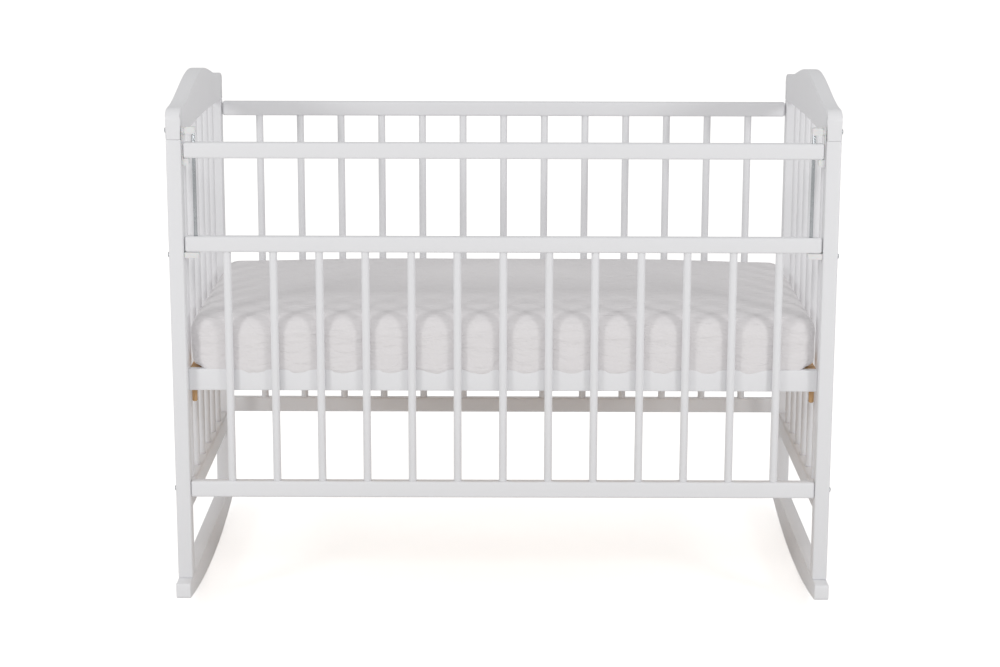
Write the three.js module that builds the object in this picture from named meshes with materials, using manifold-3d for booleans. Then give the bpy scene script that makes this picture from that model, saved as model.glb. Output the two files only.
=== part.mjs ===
// Rocking baby crib with a lowering front bar.
// Millimetres, +Z up. X runs along the crib, Y from front (-) to back (+).
// The origin is on the floor, midway between the two rockers.

import * as THREE from "three";
import { mergeVertices } from "three/addons/utils/BufferGeometryUtils.js";
import Module from "manifold-3d";

const wasm = await Module();
wasm.setup();

// ---------------------------------------------------------------- sizes (mm)

const GAP = 0.3; // clearance between two pieces that touch

// The space for the mattress sets the whole crib.
const INNER_LENGTH = 1200; // between the posts
const INNER_WIDTH = 600; // between the front and back rails

// Posts and rockers
const POST_WIDTH = 28; // along X
const POST_DEPTH = 34; // along Y
const POST_PROUD = 4; // post face in front of the rail face
const POST_TOP = 913;
const POST_EDGE = 3; // rounding of the long edges
const ROCKER_TOP = 58;
const ROCKER_RADIUS = 2260; // of the curved sole
const ROCKER_OVERHANG = 35; // past the post, front and back
const ROCKER_NOSE = 13; // rounding over its tips
const ROCKER_TOE = 4.3; // undercut of the tips
const ROCKER_FACETS = 15; // odd, so that the crib stands on a flat one

// Long rails, front and back
const RAIL_DEPTH = 20;
const RAIL_HEIGHT = 30;
const RAIL_EDGE = 4;
const BOTTOM_RAIL_HEIGHT = 32;
const FRONT_BOTTOM_RAIL = 220.5; // underside
const BACK_BOTTOM_RAIL = 229;
const MID_RAIL = 699.5;
const DROP_RAIL = 877;
const BACK_TOP_RAIL = 879;
const BOLTED_END_GAP = 2; // shadow gap where a rail is bolted between the posts

// Round bars
const BAR = 15; // diameter
const BAR_COUNT = 13; // in the front, and in the back
const BAR_PITCH = 86.7;
const SOCKET_DEPTH = 12;

// End panels
const END_RAIL = 191.5; // underside of the low cross rail
const END_RAIL_HEIGHT = 40;
const END_RAIL_WIDTH = 27.4;
const END_BAR_COUNT = 6;
const END_BAR_PITCH = 85;
const BOARD_SHOULDER = 970; // height of the end board over the posts
const BOARD_CREST = 1010; // and at the middle
const BOARD_CORNER = 22;
const BOARD_ARCH = 8; // rise of its underside between the posts
const CREST_STEPS = 24;
const ARCH_STEPS = 12;

// Drop rail and its guides
const DROP_END_GAP = 3.6; // rail end to post
const ROD = 6.5; // diameter
const ROD_FROM_POST = 22;
const ROD_HOLE = 8.5;
const ROD_SEAT = 7; // depth in the lower holder
const HOLDER_DEPTH = 20; // along Y, both holders
const UPPER_HOLDER = 922.5; // underside
const UPPER_HOLDER_HEIGHT = 13.5;
const UPPER_HOLDER_ROOF = 4; // over the end of the rod
const UPPER_HOLDER_REACH = 26.5; // from the post
const LOWER_HOLDER_HEIGHT = 11;
const LOWER_HOLDER_REACH = 28;
const HOLDER_EDGE = 3.5;

// Catches under the drop rail
const PIVOT = 929; // height of the bolt that the catch turns on
const PIVOT_BOLT = 5; // diameter
const PIVOT_THREAD = 10; // length in the upper holder
const PIVOT_HEAD = 11;
const PIVOT_HEAD_HEIGHT = 3;
const DOME_STEPS = 4;
const CATCH_EYE = 17; // diameter
const CATCH_EYE_THICKNESS = 6;
const CATCH_THICKNESS = 2.6;
const CATCH_WIDTH = 12;
const CATCH_REACH = 13.4; // hook tip from the post
const CATCH_HOOK = 14; // height of the hook
const CATCH_EDGE = 5;

// Slatted base and mattress
const DECK_TOP = 470;
const DECK_RAIL_HEIGHT = 42;
const DECK_RAIL_WIDTH = 18;
const DECK_RAIL_PAST = 2; // rail face outside the mattress space
const DECK_RAIL_EDGE = 2;
const SLAT_COUNT = 14;
const SLAT_WIDTH = 50;
const SLAT_THICKNESS = 9;
const LEDGER_WIDTH = 15;
const LEDGER_HEIGHT = 20;
const DECK_END_GAP = 0.6; // end slat to post
const PEG = 10; // diameter
const PEG_BELOW = 27; // below the deck rail
const PEG_FROM_POST = 2;
const PEG_CHAMFER = 1.5;
const MATTRESS_HEIGHT = 97;
const MATTRESS_CLEARANCE = 5; // on each side
const MATTRESS_EDGE = 22;

// ----------------------------------------------------- places that follow

const POST_X = INNER_LENGTH / 2 + POST_WIDTH / 2;
const BAR_Y = INNER_WIDTH / 2 + RAIL_DEPTH / 2; // plane of the bars and rails
const POST_FACE_Y = INNER_WIDTH / 2 + RAIL_DEPTH + POST_PROUD;
const POST_Y = POST_FACE_Y - POST_DEPTH / 2;
const POST_BACK_Y = POST_FACE_Y - POST_DEPTH; // side that faces the middle
const ROD_BOTTOM = MID_RAIL - GAP - ROD_SEAT;
const ROD_TOP = UPPER_HOLDER + UPPER_HOLDER_HEIGHT - UPPER_HOLDER_ROOF - GAP;
const BEHIND_EYE = CATCH_EYE_THICKNESS + 2 * GAP; // holder's face, from the post
const DECK_RAIL_Y = INNER_WIDTH / 2 + DECK_RAIL_PAST - DECK_RAIL_WIDTH / 2;

// ---------------------------------------------------------------- finishes

const finish = (color, roughness, metalness = 0) => () =>
  new THREE.MeshStandardMaterial({ color, roughness, metalness });

const whitePaint = finish(0xe8e8ea, 0.42);
const bareWood = finish(0xcfa273, 0.6);
const whitePlastic = finish(0xefece6, 0.38);
const zincSteel = finish(0xb9bec2, 0.25, 1);
const cotton = finish(0xe6e5e3, 0.9);

// ------------------------------------------------------------- small tools

const crib = new THREE.Group();

function add(parent, name, geometry, material, x = 0, y = 0, z = 0) {
  const mesh = new THREE.Mesh(geometry, material());
  mesh.name = name;
  mesh.position.set(x, y, z);
  parent.add(mesh);
  return mesh;
}

function toSolid(geometry) {
  const bare = geometry.clone();
  bare.deleteAttribute("normal");
  bare.deleteAttribute("uv");
  const merged = mergeVertices(bare, 1e-4);
  const vertProperties = new Float32Array(merged.attributes.position.array);
  const triVerts = new Uint32Array(merged.index.array);
  return new wasm.Manifold(new wasm.Mesh({ numProp: 3, vertProperties, triVerts }));
}

function toGeometry(solid) {
  const mesh = solid.getMesh();
  const geometry = new THREE.BufferGeometry();
  geometry.setAttribute("position", new THREE.BufferAttribute(mesh.vertProperties, 3));
  geometry.setIndex(new THREE.BufferAttribute(mesh.triVerts, 1));
  geometry.computeVertexNormals();
  return geometry;
}

const cut = (body, tools) =>
  toGeometry(tools.reduce((solid, tool) => solid.subtract(toSolid(tool)), toSolid(body)));
const join = (pieces) => toGeometry(pieces.map(toSolid).reduce((a, b) => a.add(b)));
const common = (a, b) => toGeometry(toSolid(a).intersect(toSolid(b)));

function roundedOutline(width, height, radius) {
  const x = width / 2 - radius;
  const y = height / 2 - radius;
  const outline = new THREE.Shape();
  outline.absarc(x, y, radius, 0, Math.PI / 2);
  outline.absarc(-x, y, radius, Math.PI / 2, Math.PI);
  outline.absarc(-x, -y, radius, Math.PI, 1.5 * Math.PI);
  outline.absarc(x, -y, radius, 1.5 * Math.PI, 2 * Math.PI);
  outline.closePath();
  return outline;
}

function extrude(outline, length, curveSegments) {
  const options = { depth: length, bevelEnabled: false, curveSegments };
  return new THREE.ExtrudeGeometry(outline, options).translate(0, 0, -length / 2);
}

const X_AXIS = new THREE.Vector3(1, 0, 0);
const Y_AXIS = new THREE.Vector3(0, 1, 0);
const Z_AXIS = new THREE.Vector3(0, 0, 1);
const ALONG_X = new THREE.Matrix4().makeBasis(Y_AXIS, Z_AXIS, X_AXIS);
const ALONG_Y = new THREE.Matrix4().makeBasis(Z_AXIS, X_AXIS, Y_AXIS);

// The outline is drawn in (Y, Z) for ALONG_X, in (Z, X) for ALONG_Y.
const extrudeX = (outline, length, segments = 3) =>
  extrude(outline, length, segments).applyMatrix4(ALONG_X);
const extrudeY = (outline, length, segments = 3) =>
  extrude(outline, length, segments).applyMatrix4(ALONG_Y);

const box = (width, depth, height) => new THREE.BoxGeometry(width, depth, height);

function roundRod(diameter, height, sides = 20) {
  const rod = new THREE.CylinderGeometry(diameter / 2, diameter / 2, height, sides);
  return rod.rotateX(Math.PI / 2);
}

// A round tool for a hole along Z, from zFrom up to zTo.
const holeZ = (diameter, zFrom, zTo, x, y = 0, sides = 20) =>
  roundRod(diameter, zTo - zFrom, sides).translate(x, y, (zFrom + zTo) / 2);

const spread = (count, pitch) =>
  Array.from({ length: count }, (_, i) => (i - (count - 1) / 2) * pitch);

const ENDS = [
  ["left", -1],
  ["right", 1],
];
const SIDES = [
  ["front", -1],
  ["back", 1],
];

// ------------------------------------------------------------------- posts

function post() {
  const height = POST_TOP - ROCKER_TOP - 2 * GAP;
  return extrude(roundedOutline(POST_WIDTH, POST_DEPTH, POST_EDGE), height, 2);
}

// ----------------------------------------------------------------- rockers

function rocker() {
  const tip = POST_FACE_Y + ROCKER_OVERHANG;
  const outline = new THREE.Shape();
  outline.absarc(tip - ROCKER_NOSE, ROCKER_TOP - ROCKER_NOSE, ROCKER_NOSE, 0, Math.PI / 2);
  outline.absarc(ROCKER_NOSE - tip, ROCKER_TOP - ROCKER_NOSE, ROCKER_NOSE, Math.PI / 2, Math.PI);
  const reach = tip - ROCKER_TOE;
  const half = Math.asin(reach / ROCKER_RADIUS);
  // The sole is measured from its flat middle facet, which lies on the floor.
  const flat = Math.cos(half / ROCKER_FACETS);
  for (let i = 0; i <= ROCKER_FACETS; i++) {
    const angle = half * ((2 * i) / ROCKER_FACETS - 1);
    outline.lineTo(ROCKER_RADIUS * Math.sin(angle), ROCKER_RADIUS * (flat - Math.cos(angle)));
  }
  outline.closePath();
  return extrudeX(outline, POST_WIDTH, 4);
}

// -------------------------------------------------------------- end panels

const END_BARS = spread(END_BAR_COUNT, END_BAR_PITCH);
const END_BAR_TOP = POST_TOP + BOARD_ARCH + SOCKET_DEPTH;

// The crest is one wave of a cosine from shoulder to shoulder.
function boardCrest(y) {
  const rise = BOARD_CREST - BOARD_SHOULDER;
  const span = POST_FACE_Y - BOARD_CORNER;
  return BOARD_SHOULDER + (rise * (1 + Math.cos((Math.PI * y) / span))) / 2;
}

function endBoard() {
  const end = POST_FACE_Y;
  const shoulder = end - BOARD_CORNER;
  const outline = new THREE.Shape();
  outline.moveTo(-end, POST_TOP);
  for (const y of spread(ARCH_STEPS + 1, (2 * POST_BACK_Y) / ARCH_STEPS)) {
    outline.lineTo(y, POST_TOP + BOARD_ARCH * (1 - (y / POST_BACK_Y) ** 2));
  }
  outline.lineTo(end, POST_TOP);
  outline.absarc(shoulder, BOARD_SHOULDER - BOARD_CORNER, BOARD_CORNER, 0, Math.PI / 2);
  for (const y of spread(CREST_STEPS - 1, (-2 * shoulder) / CREST_STEPS)) {
    outline.lineTo(y, boardCrest(y));
  }
  outline.absarc(-shoulder, BOARD_SHOULDER - BOARD_CORNER, BOARD_CORNER, Math.PI / 2, Math.PI);
  outline.closePath();
  const sockets = END_BARS.map((y) =>
    holeZ(BAR + 2 * GAP, POST_TOP - BAR, END_BAR_TOP + GAP, 0, y, 16)
  );
  const bolt = roundRod(PIVOT_BOLT + 2 * GAP, 2 * POST_WIDTH, 12)
    .rotateY(Math.PI / 2)
    .translate(0, -BAR_Y, PIVOT);
  return cut(extrudeX(outline, POST_WIDTH, 4), [...sockets, bolt]);
}

// Six bars glued into the low cross rail.
function endGrille() {
  const length = 2 * (POST_BACK_Y - GAP);
  const rail = extrudeX(roundedOutline(length, END_RAIL_HEIGHT, RAIL_EDGE), END_RAIL_WIDTH);
  rail.translate(0, 0, END_RAIL + END_RAIL_HEIGHT / 2);
  const foot = END_RAIL + END_RAIL_HEIGHT / 2;
  const bars = END_BARS.map((y) =>
    roundRod(BAR, END_BAR_TOP - foot, 16).translate(0, y, (END_BAR_TOP + foot) / 2)
  );
  return join([rail, ...bars]);
}

// -------------------------------------------------------- long rails, bars

const BARS = spread(BAR_COUNT, BAR_PITCH);
const RODS = [-1, 1].map((end) => end * (INNER_LENGTH / 2 - ROD_FROM_POST));

// A rail with all its long edges and its end corners rounded.
function plainRail(length, height = RAIL_HEIGHT) {
  const section = extrudeX(roundedOutline(RAIL_DEPTH, height, RAIL_EDGE), length, 2);
  const side = extrudeY(roundedOutline(height, length, RAIL_EDGE), RAIL_DEPTH, 2);
  return common(section, side);
}

// Sockets open in the underside (-1) or the top (1) of a rail.
function railSockets(side, height = RAIL_HEIGHT) {
  const face = (side * height) / 2;
  const inner = face - side * (SOCKET_DEPTH + GAP);
  const outer = face + side * SOCKET_DEPTH;
  return BARS.map((x) =>
    holeZ(BAR + 2 * GAP, Math.min(inner, outer), Math.max(inner, outer), x)
  );
}

const rodHoles = () => RODS.map((x) => holeZ(ROD_HOLE, -RAIL_HEIGHT, RAIL_HEIGHT, x, 0, 12));

function bar(lowRail, highRail) {
  const bottom = lowRail + BOTTOM_RAIL_HEIGHT - SOCKET_DEPTH;
  const top = highRail + SOCKET_DEPTH;
  return roundRod(BAR, top - bottom).translate(0, 0, (top + bottom) / 2);
}

// ------------------------------------------- drop rail guides and catches
// Each is drawn for the left end, with x = 0 on the post's inner face and
// y = 0 in the plane of the rods; the right end is turned half a turn.

function upperHolder() {
  const width = UPPER_HOLDER_REACH - BEHIND_EYE;
  const outline = roundedOutline(UPPER_HOLDER_HEIGHT, width, HOLDER_EDGE).getPoints(3);
  const middle = UPPER_HOLDER + UPPER_HOLDER_HEIGHT / 2;
  const block = extrudeY(new THREE.Shape(outline), HOLDER_DEPTH)
    .translate(BEHIND_EYE + width / 2, 0, middle);
  const bolt = roundRod(PIVOT_BOLT + 2 * GAP, 2 * (BEHIND_EYE + PIVOT_THREAD), 12)
    .rotateY(Math.PI / 2)
    .translate(0, 0, PIVOT);
  const rod = holeZ(ROD + 2 * GAP, UPPER_HOLDER - ROD, ROD_TOP + GAP, ROD_FROM_POST, 0, 12);
  return cut(block, [bolt, rod]);
}

function lowerHolder() {
  const top = MID_RAIL - GAP;
  const bottom = top - LOWER_HOLDER_HEIGHT;
  const inner = LOWER_HOLDER_REACH;
  const outline = new THREE.Shape();
  outline.moveTo(top, GAP);
  outline.lineTo(bottom + HOLDER_EDGE, GAP);
  outline.absarc(
    bottom + HOLDER_EDGE, GAP + HOLDER_EDGE, HOLDER_EDGE, 1.5 * Math.PI, Math.PI, true
  );
  outline.absarc(
    bottom + HOLDER_EDGE, inner - HOLDER_EDGE, HOLDER_EDGE, Math.PI, Math.PI / 2, true
  );
  outline.lineTo(top, inner);
  outline.closePath();
  const rod = holeZ(ROD + 2 * GAP, ROD_BOTTOM - GAP, top + ROD, ROD_FROM_POST, 0, 12);
  return cut(extrudeY(outline, HOLDER_DEPTH), [rod]);
}

// A flat tongue that turns on the bolt, with a hook under the drop rail.
function catchTongue() {
  const ledge = DROP_RAIL - GAP;
  const bottom = ledge - CATCH_HOOK;
  const outer = GAP + CATCH_THICKNESS;
  const outline = new THREE.Shape();
  outline.moveTo(PIVOT, GAP);
  outline.lineTo(bottom + CATCH_EDGE / 2, GAP);
  outline.lineTo(bottom, GAP + CATCH_EDGE / 2);
  outline.absarc(
    bottom + CATCH_EDGE, CATCH_REACH - CATCH_EDGE, CATCH_EDGE, Math.PI, Math.PI / 2, true
  );
  outline.lineTo(ledge, CATCH_REACH);
  outline.lineTo(ledge, outer);
  outline.lineTo(PIVOT, outer);
  outline.closePath();
  const eye = roundRod(CATCH_EYE, CATCH_EYE_THICKNESS, 20)
    .rotateY(Math.PI / 2)
    .translate(GAP + CATCH_EYE_THICKNESS / 2, 0, PIVOT);
  const hole = roundRod(PIVOT_BOLT + 2 * GAP, 4 * CATCH_EYE_THICKNESS, 12)
    .rotateY(Math.PI / 2)
    .translate(0, 0, PIVOT);
  return toGeometry(
    toSolid(extrudeY(outline, CATCH_WIDTH, 3)).add(toSolid(eye)).subtract(toSolid(hole))
  );
}

// The bolt goes through the end board and the catch into the upper holder.
function pivotBolt() {
  const tip = BEHIND_EYE + PIVOT_THREAD - GAP;
  const face = -POST_WIDTH - GAP;
  const shank = roundRod(PIVOT_BOLT, tip - face + GAP, 12)
    .rotateY(Math.PI / 2)
    .translate((tip + face - GAP) / 2, 0, 0);
  const dome = [new THREE.Vector2(0, 0)];
  for (let i = 0; i < DOME_STEPS; i++) {
    const angle = (i * Math.PI) / 2 / DOME_STEPS;
    dome.push(new THREE.Vector2(
      (PIVOT_HEAD / 2) * Math.cos(angle), PIVOT_HEAD_HEIGHT * Math.sin(angle)
    ));
  }
  dome.push(new THREE.Vector2(0, PIVOT_HEAD_HEIGHT));
  const head = new THREE.LatheGeometry(dome, 20).rotateZ(Math.PI / 2).translate(face, 0, 0);
  return join([shank, head]);
}

// ------------------------------------------------------ base and mattress

function deckRail() {
  const outline = roundedOutline(DECK_RAIL_WIDTH, DECK_RAIL_HEIGHT, DECK_RAIL_EDGE);
  return extrudeX(outline, INNER_LENGTH - 2 * GAP, 2);
}

const PEG_X = INNER_LENGTH / 2 - PEG_FROM_POST - PEG / 2;
const LEDGER_OUTER = DECK_RAIL_Y - DECK_RAIL_WIDTH / 2 - GAP;
const PEG_Y = LEDGER_OUTER - LEDGER_WIDTH / 2;

// Slats glued on two ledgers, flush with the top of the deck rails.
function slatDeck() {
  const length = INNER_LENGTH - 2 * DECK_END_GAP;
  const underSlats = DECK_TOP - SLAT_THICKNESS;
  const pitch = (length - SLAT_WIDTH) / (SLAT_COUNT - 1);
  const slats = spread(SLAT_COUNT, pitch).map((x) =>
    box(SLAT_WIDTH, 2 * LEDGER_OUTER, SLAT_THICKNESS).translate(
      x, 0, underSlats + SLAT_THICKNESS / 2
    )
  );
  const ledgers = [-1, 1].map((side) =>
    box(length, LEDGER_WIDTH, LEDGER_HEIGHT).translate(
      0, side * (LEDGER_OUTER - LEDGER_WIDTH / 2), underSlats - LEDGER_HEIGHT / 2
    )
  );
  const holes = [-1, 1].flatMap((end) =>
    [-1, 1].map((side) =>
      holeZ(PEG + 2 * GAP, DECK_TOP - 2 * DECK_RAIL_HEIGHT, DECK_TOP + PEG,
        end * PEG_X, side * PEG_Y, 16)
    )
  );
  return cut(join([...slats, ...ledgers]), holes);
}

// A turned peg with a chamfered lower end.
function deckPeg() {
  const radius = PEG / 2;
  const bottom = DECK_TOP - DECK_RAIL_HEIGHT - PEG_BELOW;
  const profile = [
    [0, bottom],
    [radius - PEG_CHAMFER, bottom],
    [radius, bottom + PEG_CHAMFER],
    [radius, DECK_TOP - GAP],
    [0, DECK_TOP - GAP],
  ].map(([x, z]) => new THREE.Vector2(x, z));
  return new THREE.LatheGeometry(profile, 16).rotateX(Math.PI / 2);
}

function mattress() {
  const length = INNER_LENGTH - 2 * MATTRESS_CLEARANCE;
  const width = INNER_WIDTH - 2 * MATTRESS_CLEARANCE;
  return extrude(roundedOutline(length, width, MATTRESS_EDGE), MATTRESS_HEIGHT, 4);
}

// ---------------------------------------------------------------- assembly

for (const [end, x] of ENDS) {
  for (const [side, y] of SIDES) {
    const middle = (POST_TOP + ROCKER_TOP) / 2;
    add(crib, `post_${side}_${end}`, post(), whitePaint, x * POST_X, y * POST_Y, middle);
    add(crib, `deck_peg_${side}_${end}`, deckPeg(), bareWood, x * PEG_X, y * PEG_Y, 0);
  }
  add(crib, `rocker_${end}`, rocker(), whitePaint, x * POST_X);
  add(crib, `end_board_${end}`, endBoard(), whitePaint, x * POST_X);
  add(crib, `end_grille_${end}`, endGrille(), whitePaint, x * POST_X);
}

const railZ = (underside, height = RAIL_HEIGHT) => underside + height / 2;
const boltedLength = INNER_LENGTH - 2 * BOLTED_END_GAP;
const tightLength = INNER_LENGTH - 2 * GAP;

const front = new THREE.Group();
front.position.y = -BAR_Y;
const midRail = cut(plainRail(boltedLength), [...railSockets(-1), ...rodHoles()]);
add(front, "front_mid_rail", midRail, whitePaint, 0, 0, railZ(MID_RAIL));
const bottomRail = () =>
  cut(plainRail(tightLength, BOTTOM_RAIL_HEIGHT), railSockets(1, BOTTOM_RAIL_HEIGHT));
const frontBottomZ = railZ(FRONT_BOTTOM_RAIL, BOTTOM_RAIL_HEIGHT);
add(front, "front_bottom_rail", bottomRail(), whitePaint, 0, 0, frontBottomZ);
const dropRail = cut(plainRail(INNER_LENGTH - 2 * DROP_END_GAP), rodHoles());
add(front, "drop_rail", dropRail, whitePaint, 0, 0, railZ(DROP_RAIL));
crib.add(front);

const back = new THREE.Group();
back.position.y = BAR_Y;
const backTopRail = cut(plainRail(boltedLength), railSockets(-1));
add(back, "back_top_rail", backTopRail, whitePaint, 0, 0, railZ(BACK_TOP_RAIL));
const backBottomZ = railZ(BACK_BOTTOM_RAIL, BOTTOM_RAIL_HEIGHT);
add(back, "back_bottom_rail", bottomRail(), whitePaint, 0, 0, backBottomZ);
crib.add(back);

BARS.forEach((x, i) => {
  const number = String(i + 1).padStart(2, "0");
  add(front, `front_bar_${number}`, bar(FRONT_BOTTOM_RAIL, MID_RAIL), whitePaint, x);
  add(back, `back_bar_${number}`, bar(BACK_BOTTOM_RAIL, BACK_TOP_RAIL), whitePaint, x);
});

for (const [end, x] of ENDS) {
  const guide = new THREE.Group();
  guide.position.set((x * INNER_LENGTH) / 2, -BAR_Y, 0);
  guide.rotation.z = x > 0 ? Math.PI : 0;
  add(guide, `upper_rod_holder_${end}`, upperHolder(), whitePlastic);
  add(guide, `lower_rod_holder_${end}`, lowerHolder(), whitePlastic);
  add(guide, `catch_${end}`, catchTongue(), whitePlastic);
  add(guide, `pivot_bolt_${end}`, pivotBolt(), zincSteel, 0, 0, PIVOT);
  const rod = roundRod(ROD, ROD_TOP - ROD_BOTTOM, 16);
  add(guide, `guide_rod_${end}`, rod, zincSteel, ROD_FROM_POST, 0, (ROD_TOP + ROD_BOTTOM) / 2);
  crib.add(guide);
}

for (const [side, y] of SIDES) {
  const middle = DECK_TOP - DECK_RAIL_HEIGHT / 2;
  add(crib, `deck_rail_${side}`, deckRail(), whitePaint, 0, y * DECK_RAIL_Y, middle);
}
add(crib, "slat_deck", slatDeck(), bareWood);
add(crib, "mattress", mattress(), cotton, 0, 0, DECK_TOP + GAP + MATTRESS_HEIGHT / 2);

export default crib;
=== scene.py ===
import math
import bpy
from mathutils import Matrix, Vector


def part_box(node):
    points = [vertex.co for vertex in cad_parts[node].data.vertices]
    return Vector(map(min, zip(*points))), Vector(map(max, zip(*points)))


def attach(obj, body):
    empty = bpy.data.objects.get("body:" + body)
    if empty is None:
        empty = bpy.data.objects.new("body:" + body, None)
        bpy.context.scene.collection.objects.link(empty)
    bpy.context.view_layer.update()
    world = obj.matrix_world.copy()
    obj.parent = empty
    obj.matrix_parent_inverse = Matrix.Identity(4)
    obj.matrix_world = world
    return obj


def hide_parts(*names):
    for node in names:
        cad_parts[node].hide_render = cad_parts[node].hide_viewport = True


bl_info = {
    "name": "Rocking baby crib",
    "version": (1, 0, 0),
    "blender": (4, 5, 0),
    "location": "View3D > Sidebar > Crib",
    "description": "Builds a painted rocking crib with a drop rail, a slatted base and a covered mattress",
    "category": "Add Mesh",
}

from contextlib import contextmanager

import bmesh
import bpy
from mathutils import Matrix, Vector

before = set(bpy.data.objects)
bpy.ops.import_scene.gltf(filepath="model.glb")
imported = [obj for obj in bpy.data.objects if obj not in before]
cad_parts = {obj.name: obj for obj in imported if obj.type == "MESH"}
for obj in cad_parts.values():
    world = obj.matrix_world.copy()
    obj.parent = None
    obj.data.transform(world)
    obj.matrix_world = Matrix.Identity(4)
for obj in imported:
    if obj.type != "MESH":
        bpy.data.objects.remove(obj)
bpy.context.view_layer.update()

MM = 0.001
X, Y, Z = Vector((1, 0, 0)), Vector((0, 1, 0)), Vector((0, 0, 1))
ENDS = {"left": -1, "right": 1}
SIDES = {"front": -1, "back": 1}


def linear(code):
    """An sRGB hex colour as linear red, green and blue."""
    channels = (int(code[i : i + 2], 16) / 255 for i in (1, 3, 5))
    return tuple(c / 12.92 if c <= 0.04045 else ((c + 0.055) / 1.055) ** 2.4 for c in channels)


# ------------------------------------------------------------------ settings


def length(name, description, default, **options):
    """A length property in metres."""
    return bpy.props.FloatProperty(
        name=name, description=description, default=default, unit="LENGTH", **options
    )


def colour(name, description, code):
    """A colour property with an sRGB hex default."""
    return bpy.props.FloatVectorProperty(
        name=name, description=description, default=linear(code), subtype="COLOR", size=3,
        min=0, max=1,
    )


class CribSizes(bpy.types.PropertyGroup):
    """Sizes that the frame leaves open: roundings, sockets and fabric."""

    post_edge: length("Post edge", "Rounding of the posts' long edges", 3 * MM)
    rail_edge: length("Rail edge", "Rounding of the rails' edges", 4.5 * MM)
    board_edge: length("Board edge", "Rounding of the end boards' outline", 2.5 * MM)
    end_edge: length("End edge", "Eased edge at the sawn ends", 0.6 * MM)
    seam_edge: length("Seam edge", "Eased edge where a post meets its board", 1.8 * MM)
    sole_radius: length("Sole radius", "Radius of the rockers' curved sole", 2.260)
    rocker_nose: length("Rocker nose", "Rounding over the rockers' tips", 13 * MM)
    rocker_toe: length("Rocker toe", "Rounding under the rockers' tips", 5 * MM)
    rocker_edge: length("Rocker edge", "Rounding of the rockers' long edges", 2 * MM)
    shoulder: length("Shoulder", "Height of the end boards over the posts", 0.970)
    board_corner: length("Board corner", "Rounding of the boards' upper corners", 22 * MM)
    board_arch: length("Board arch", "Rise of the boards' underside between the posts", 8 * MM)
    board_cuts: bpy.props.IntProperty(
        name="Board cuts", description="Cuts along the boards, for their curves", default=53,
        min=1,
    )
    end_rail: length("End rail", "Height of the low cross rails", 40 * MM)
    bar: length("Bar", "Diameter of the round bars", 15 * MM)
    bar_pitch: length("Bar pitch", "Spacing of the front and back bars", 86.7 * MM)
    end_bar_pitch: length("End bar pitch", "Spacing of the bars in the end panels", 85 * MM)
    socket_depth: length("Socket depth", "Depth of the bars' sockets", 12 * MM)
    socket_gap: length("Socket gap", "Clearance round a piece in its socket", 0.3 * MM)
    rod_hole: length("Rod hole", "Hole for a guide rod in a rail", 8.5 * MM)
    rod_seat: length("Rod seat", "Hole for a guide rod in a holder", 7.1 * MM)
    holder_edge: length("Holder edge", "Large rounding of the plastic holders", 3.5 * MM)
    moulded_edge: length("Moulded edge", "Small rounding of the plastic pieces", 0.8 * MM)
    catch: length("Catch", "Thickness of the catch's tongue", 2.6 * MM)
    catch_width: length("Catch width", "Width of the catch's tongue", 12 * MM)
    catch_boss: length("Catch boss", "Thickness of the catch round its bolt", 6 * MM)
    catch_edge: length("Catch edge", "Rounding under the catch's hook", 5 * MM)
    bolt_head: length("Bolt head", "Diameter of the domed bolt heads", 11 * MM)
    bolt_dome: length("Bolt dome", "Height of the domed bolt heads", 3 * MM)
    bolt_key: length("Bolt key", "Size across the corners of the hexagon socket", 4.6 * MM)
    bolt_shank: length("Bolt shank", "Diameter of the bolts", 5 * MM)
    slat: length("Slat", "Width of one slat", 50 * MM)
    slat_thickness: length("Slat thickness", "Thickness of the slats", 9 * MM)
    slat_edge: length("Slat edge", "Rounding of the planed slats", 1.5 * MM)
    ledger: length("Ledger", "Width of the ledgers under the slats", 15 * MM)
    peg: length("Peg", "Diameter of the pegs in the base", 10 * MM)
    peg_chamfer: length("Peg chamfer", "Eased end of the pegs", 1.5 * MM)
    corner_round: length("Mattress corner", "Rounding of the mattress in plan", 30 * MM)
    edge_round: length("Mattress edge", "Rounding round the mattress's top", 26 * MM)
    crown: length("Crown", "Rise of the mattress's middle", 9 * MM)
    press_end: length("Press at the ends", "How far the foam swells towards the end bars", 1.8 * MM)
    press_side: length("Press at the sides", "How far the foam swells towards the bars", 3 * MM)
    ease: length("Ease", "Room between the foam and the cover's folds", 4 * MM)
    bulge: length("Bulge", "How far the cover swells out between two bars", 3 * MM)
    sag: length("Sag", "How far the cover's lower edge hangs over the base", 10 * MM)
    pucker: length("Pucker", "Depth of the folds at the ends of the cover", 5.5 * MM)
    cloth_step: length("Cloth step", "Spacing of the fabric's mesh", 8 * MM)
    cloth: length("Cloth", "Thickness of the cotton cover", 0.7 * MM)
    hem: length("Hem", "Width of cover turned under the mattress", 60 * MM)
    fold: length("Fold", "Most that a point of the cover may move", 14 * MM)
    slack: bpy.props.FloatProperty(
        name="Slack", description="Spare cloth at the corners and the hem, as a share of it",
        default=0.06, min=0, max=0.3,
    )


class CribColours(bpy.types.PropertyGroup):
    """Colours of the finishes."""

    paint: colour("Paint", "Satin white enamel on birch", "#F1F1F3")
    birch: colour("Birch", "Planed birch of the slats and pegs", "#D6AE7E")
    birch_dark: colour("Birch grain", "Late wood of the birch", "#B98A58")
    plastic: colour("Plastic", "Moulded polypropylene", "#EFEFEF")
    zinc: colour("Zinc", "Zinc-plated steel", "#C6CACD")
    cotton: colour("Cotton", "Woven cotton cover", "#EFECED")
    ticking: colour("Ticking", "Bonded fabric under the mattress", "#E6E4DE")
    floor: colour("Floor", "Pale studio floor", "#F3F2F1")


# ----------------------------------------------------------- modelling tools


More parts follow.
